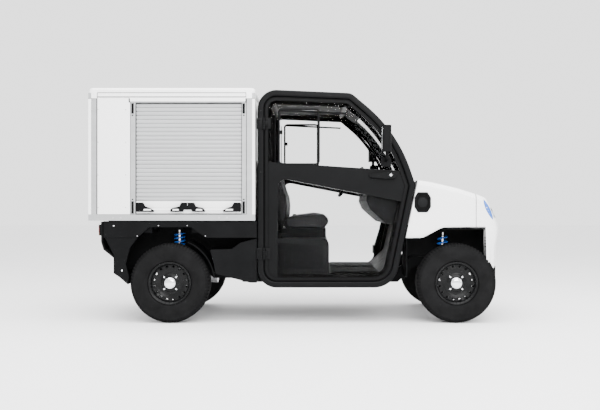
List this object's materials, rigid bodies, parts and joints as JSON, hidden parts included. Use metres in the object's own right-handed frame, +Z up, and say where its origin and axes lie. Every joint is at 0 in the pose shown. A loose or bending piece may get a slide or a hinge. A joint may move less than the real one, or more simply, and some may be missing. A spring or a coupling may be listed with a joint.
{
  "type": "electric utility van",
  "caption": "Small battery-driven utility van with a two-seat glazed cab and a cargo box that opens through a roller shutter on each side.",
  "frame": {"origin": "on the ground at the middle of the overall length and width", "axes": "+X forward, +Y to the left of the vehicle, +Z up"},
  "size_m": [3.358, 1.656, 1.8746],
  "materials": {
    "white_paint": "gloss white",
    "anodised_aluminium": "satin anodised",
    "cab_black": "satin black powder coat",
    "chassis_paint": "semi-gloss black",
    "moulded_plastic": "textured black moulding",
    "clear_glass": "clear laminated",
    "tyre_rubber": "road tyre",
    "rim_black": "gloss black steel rim",
    "seat_vinyl": "grained black vinyl",
    "spring_blue": "blue coil springs on bright dampers",
    "battery_case": "moulded case",
    "lamp_lens": "clear lamp lens with blue edge",
    "lamp_red": "red lamp lens"
  },
  "bodies": {
    "chassis": {"battery_pack": "battery_case", "box_floor": "anodised_aluminium", "box_frame": "anodised_aluminium", "box_panels": "white_paint", "box_roof": "white_paint", "cab_cross_tubes": "cab_black", "cab_floor": "moulded_plastic", "cab_rear_wall": "moulded_plastic", "chassis_frame": "chassis_paint", "coil_struts": "spring_blue", "dashboard": "moulded_plastic", "drive_unit": "chassis_paint", "front_bumper": "moulded_plastic", "front_fenders": "white_paint", "front_suspension_arms": "chassis_paint", "headlamps": "lamp_lens", "left_cab_side_frame": "cab_black", "left_shutter_curtain": "anodised_aluminium", "nose_panel": "white_paint", "rear_axle": "chassis_paint", "rear_fascia": "moulded_plastic", "rear_window": "clear_glass", "right_cab_side_frame": "cab_black", "right_shutter_curtain": "anodised_aluminium", "roof_panel": "moulded_plastic", "seat_backs": "seat_vinyl", "seat_bases": "chassis_paint", "seat_box": "moulded_plastic", "seat_cushions": "seat_vinyl", "shutter_guides": "anodised_aluminium", "shutter_housings": "anodised_aluminium", "side_lockers": "moulded_plastic", "side_skirts": "moulded_plastic", "steering_column": "moulded_plastic", "tail_lamps": "lamp_red", "wheel_arch_liners": "moulded_plastic", "windscreen": "clear_glass"},
    "door_right": {"right_door_frame": "cab_black", "right_door_glass": "clear_glass", "right_door_mirror": "moulded_plastic"},
    "door_left": {"left_door_frame": "cab_black", "left_door_glass": "clear_glass", "left_door_mirror": "moulded_plastic"},
    "hood": {"hood": "white_paint"},
    "shutter_right": {"right_shutter_bar": "white_paint"},
    "shutter_left": {"left_shutter_bar": "white_paint"},
    "steering": {"steering_wheel": "moulded_plastic"},
    "steer_knuckle_right": {"right_knuckle": "chassis_paint"},
    "steer_knuckle_left": {"left_knuckle": "chassis_paint"},
    "wheel_front_right": {"right_front_tyre": "tyre_rubber", "right_front_rim": "rim_black"},
    "wheel_front_left": {"left_front_tyre": "tyre_rubber", "left_front_rim": "rim_black"},
    "wheel_rear_right": {"right_rear_tyre": "tyre_rubber", "right_rear_rim": "rim_black"},
    "wheel_rear_left": {"left_rear_tyre": "tyre_rubber", "left_rear_rim": "rim_black"}
  },
  "joints": [
    {"name": "door_right_hinge", "type": "hinge", "parent": "chassis", "child": "door_right", "pos_m": [-0.279, -0.659, 1.07], "axis": [0, 0, -1], "range_deg": [0, 80]},
    {"name": "door_left_hinge", "type": "hinge", "parent": "chassis", "child": "door_left", "pos_m": [-0.279, 0.659, 1.07], "axis": [0, 0, 1], "range_deg": [0, 80]},
    {"name": "hood_hinge", "type": "hinge", "parent": "chassis", "child": "hood", "pos_m": [0.95, 0, 1.15], "axis": [0, -1, 0], "range_deg": [0, 50]},
    {"name": "shutter_right_lift", "type": "slide", "parent": "chassis", "child": "shutter_right", "axis": [0, 0, 1], "range_m": [0, 0.76], "deforming": ["right_shutter_curtain"]},
    {"name": "shutter_left_lift", "type": "slide", "parent": "chassis", "child": "shutter_left", "axis": [0, 0, 1], "range_m": [0, 0.76], "deforming": ["left_shutter_curtain"]},
    {"name": "steer_right", "type": "hinge", "parent": "chassis", "child": "steer_knuckle_right", "pos_m": [1.255, -0.5, 0.3175], "axis": [0, 0, 1], "range_deg": [-28, 28]},
    {"name": "steer_left", "type": "hinge", "parent": "chassis", "child": "steer_knuckle_left", "pos_m": [1.255, 0.5, 0.3175], "axis": [0, 0, 1], "range_deg": [-28, 28]},
    {"name": "steering_wheel_turn", "type": "hinge", "parent": "chassis", "child": "steering", "pos_m": [0.453, 0.3, 1.151], "axis": [-0.766, 0, 0.6428], "range_deg": [-400, 400]},
    {"name": "wheel_front_right_spin", "type": "hinge", "parent": "steer_knuckle_right", "child": "wheel_front_right", "pos_m": [1.255, -0.575, 0.3175], "axis": [0, 1, 0], "continuous": true},
    {"name": "wheel_front_left_spin", "type": "hinge", "parent": "steer_knuckle_left", "child": "wheel_front_left", "pos_m": [1.255, 0.575, 0.3175], "axis": [0, 1, 0], "continuous": true},
    {"name": "wheel_rear_right_spin", "type": "hinge", "parent": "chassis", "child": "wheel_rear_right", "pos_m": [-1.031, -0.575, 0.3175], "axis": [0, 1, 0], "continuous": true},
    {"name": "wheel_rear_left_spin", "type": "hinge", "parent": "chassis", "child": "wheel_rear_left", "pos_m": [-1.031, 0.575, 0.3175], "axis": [0, 1, 0], "continuous": true}
  ],
  "couplings": [
    {"joint": "steer_left", "follows": "steer_right", "ratio": 1},
    {"joint": "steering_wheel_turn", "follows": "steer_right", "ratio": 13.6}
  ]
}
